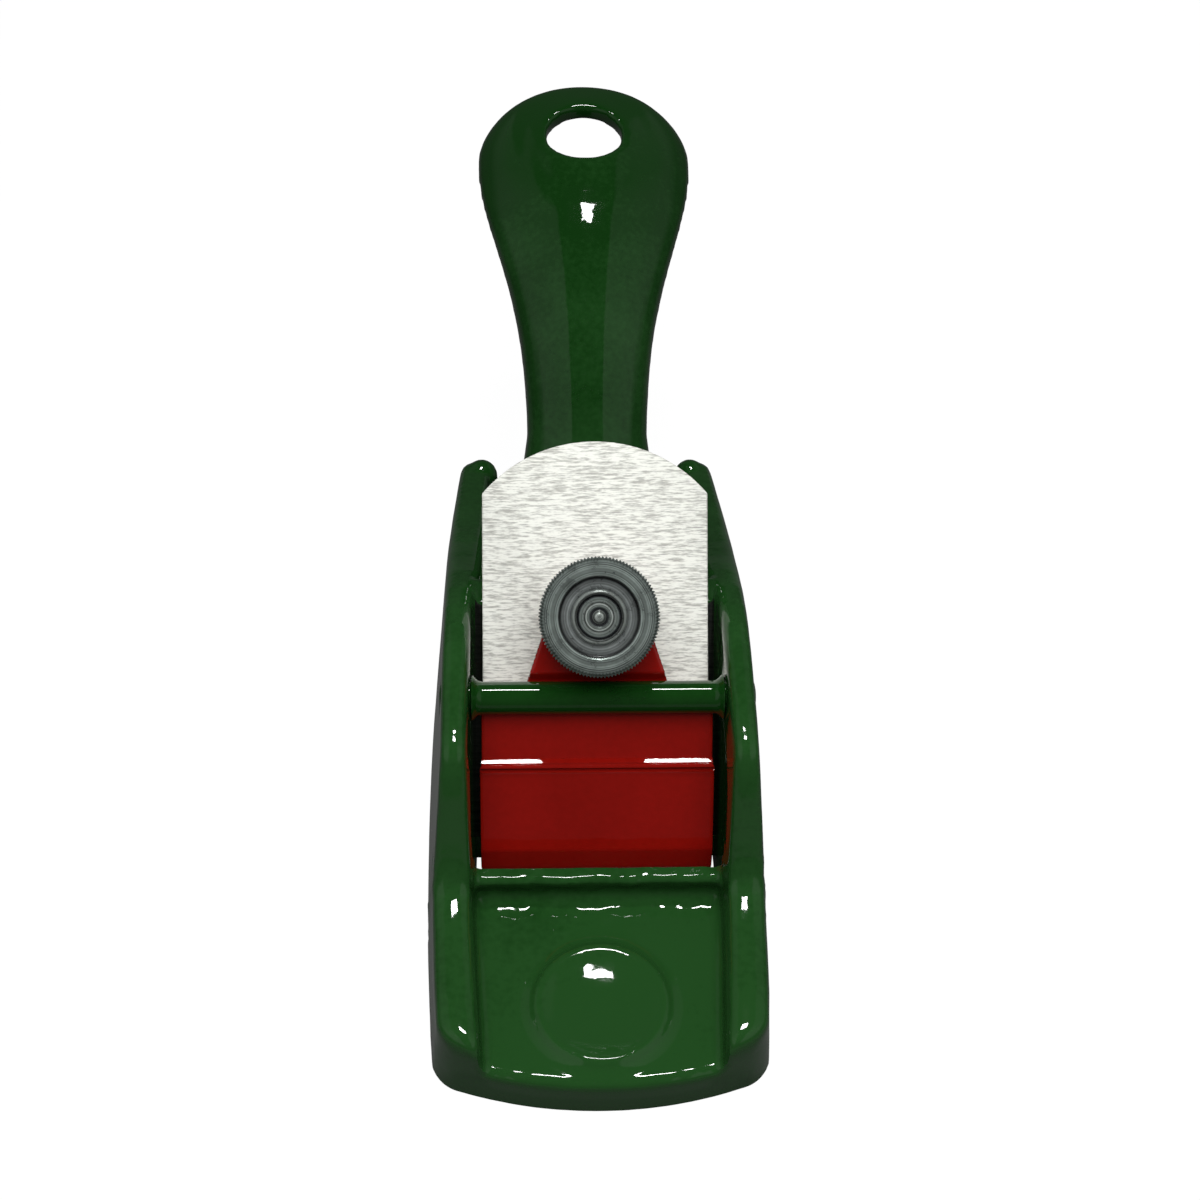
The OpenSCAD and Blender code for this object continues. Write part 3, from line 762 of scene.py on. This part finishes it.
made = [
    (green_body(), "body", "body_casting", "body_enamel"),
    (cross_bar(), "body", "cross_bar", "bar_enamel"),
    (plane_blade(), "iron", "blade", "blade_steel"),
    (lever_cap(), "cap", "lever_cap", "cap_enamel"),
    (thumbscrew_stud(), "stud", "thumbscrew_stud", "stud_steel"),
    (thumbscrew_head(), "head", "thumbscrew_head", "head_steel"),
]
for piece, body, node, finish in made:
    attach(piece, body)
    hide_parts(node)

# The model's own solids carry the same finishes as the pieces over them
stand_in = {
    "body_casting": green_enamel, "cross_bar": bar_enamel, "blade": blade_steel, "lever_cap": red_enamel,
    "thumbscrew_stud": stud_steel, "thumbscrew_head": head_steel,
}
for node, finish in stand_in.items():
    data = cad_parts[node].data
    data.materials.clear()
    data.materials.append(finish)


# The studio
def pale_floor():
    """Near white to the camera, and dark to the light's other rays."""
    bpy.ops.mesh.primitive_plane_add(size=4, location=(0, 0, -0.02 * MM))
    floor = named("studio_floor")
    material, nodes, links = finish_named("pale_floor")
    shader = nodes["Principled BSDF"]
    shader.inputs["Base Color"].default_value = (0.12, 0.12, 0.12, 1)
    shader.inputs["Roughness"].default_value = 0.9
    shader.inputs["Specular IOR Level"].default_value = 0.0
    glow = nodes.new("ShaderNodeEmission")
    glow.inputs["Color"].default_value = (1, 1, 1, 1)
    glow.inputs["Strength"].default_value = 1.36
    seen = nodes.new("ShaderNodeLightPath")
    share = nodes.new("ShaderNodeMath")
    share.operation = "MULTIPLY"
    share.inputs[1].default_value = 0.72
    links.new(seen.outputs["Is Camera Ray"], share.inputs[0])
    blend = nodes.new("ShaderNodeMixShader")
    links.new(share.outputs["Value"], blend.inputs["Fac"])
    links.new(shader.outputs["BSDF"], blend.inputs[1])
    links.new(glow.outputs["Emission"], blend.inputs[2])
    links.new(blend.outputs["Shader"], nodes["Material Output"].inputs["Surface"])
    floor.data.materials.append(material)


def surroundings():
    """A dim room, a little brighter at both sides, behind a white background."""
    world = bpy.data.worlds.new("studio")
    bpy.context.scene.world = world
    world.use_nodes = True
    nodes = world.node_tree.nodes
    links = world.node_tree.links
    direction = nodes.new("ShaderNodeTexCoord")
    parts = nodes.new("ShaderNodeSeparateXYZ")
    links.new(direction.outputs["Generated"], parts.inputs["Vector"])
    dim = ramp(nodes, links, parts.outputs["Z"], [
        (0.0, (0.05, 0.05, 0.05)), (0.6, (0.06, 0.06, 0.06)), (0.9, (0.025, 0.025, 0.025))])
    sideways = nodes.new("ShaderNodeMath")
    sideways.operation = "ABSOLUTE"
    links.new(parts.outputs["X"], sideways.inputs[0])
    total = nodes.new("ShaderNodeMath")
    total.operation = "MULTIPLY_ADD"
    panels = nodes.new("ShaderNodeMath")
    panels.operation = "MULTIPLY"
    links.new(spread(nodes, links, sideways.outputs["Value"], 0.0, 1.0, 0.28, 0.32), panels.inputs[0])
    links.new(spread(nodes, links, parts.outputs["Z"], 0.0, 1.0, 0.3, 0.5), panels.inputs[1])
    links.new(panels.outputs["Value"], total.inputs[0])
    links.new(spread(nodes, links, parts.outputs["Y"], 0.28, 0.07, -0.2, 0.5), total.inputs[1])
    links.new(dim, total.inputs[2])
    seen = nodes.new("ShaderNodeLightPath")
    either = nodes.new("ShaderNodeMath")
    either.operation = "MAXIMUM"
    links.new(seen.outputs["Is Camera Ray"], either.inputs[0])
    links.new(total.outputs["Value"], either.inputs[1])
    back = nodes["Background"]
    back.inputs["Color"].default_value = (1, 1, 1, 1)
    links.new(either.outputs["Value"], back.inputs["Strength"])


def lamp(name, location, aim, size, power, glossy=True):
    bpy.ops.object.light_add(type="AREA", location=location)
    light = bpy.context.active_object
    light.name = name
    light.data.shape = "RECTANGLE"
    light.data.size = size[0]
    light.data.size_y = size[1]
    light.data.energy = power
    light.rotation_euler = (Vector(aim) - Vector(location)).to_track_quat("-Z", "Y").to_euler()
    light.visible_glossy = glossy


def camera():
    bpy.ops.object.camera_add()
    view = bpy.context.active_object
    back = CAMERA_RIGHT.cross(CAMERA_UP).normalized()
    view.matrix_world = Matrix.Translation(CAMERA_PLACE) @ Matrix((
        CAMERA_RIGHT, CAMERA_UP, back)).transposed().to_4x4()
    view.data.sensor_width = 36
    view.data.lens = CAMERA_LENS
    view.data.clip_start = 0.005
    view.data.clip_end = 20
    bpy.context.scene.camera = view


pale_floor()
surroundings()
lamp("overhead_lamp", (0.07, 0.55, 1.92), (0, 0, 0), (0.36, 0.15), 10.8)
lamp("soft_ceiling", (0, -0.12, 0.32), (0, -0.03, 0), (0.28, 0.28), 1.2, glossy=False)
camera()
bpy.context.scene.view_settings.view_transform = "Standard"
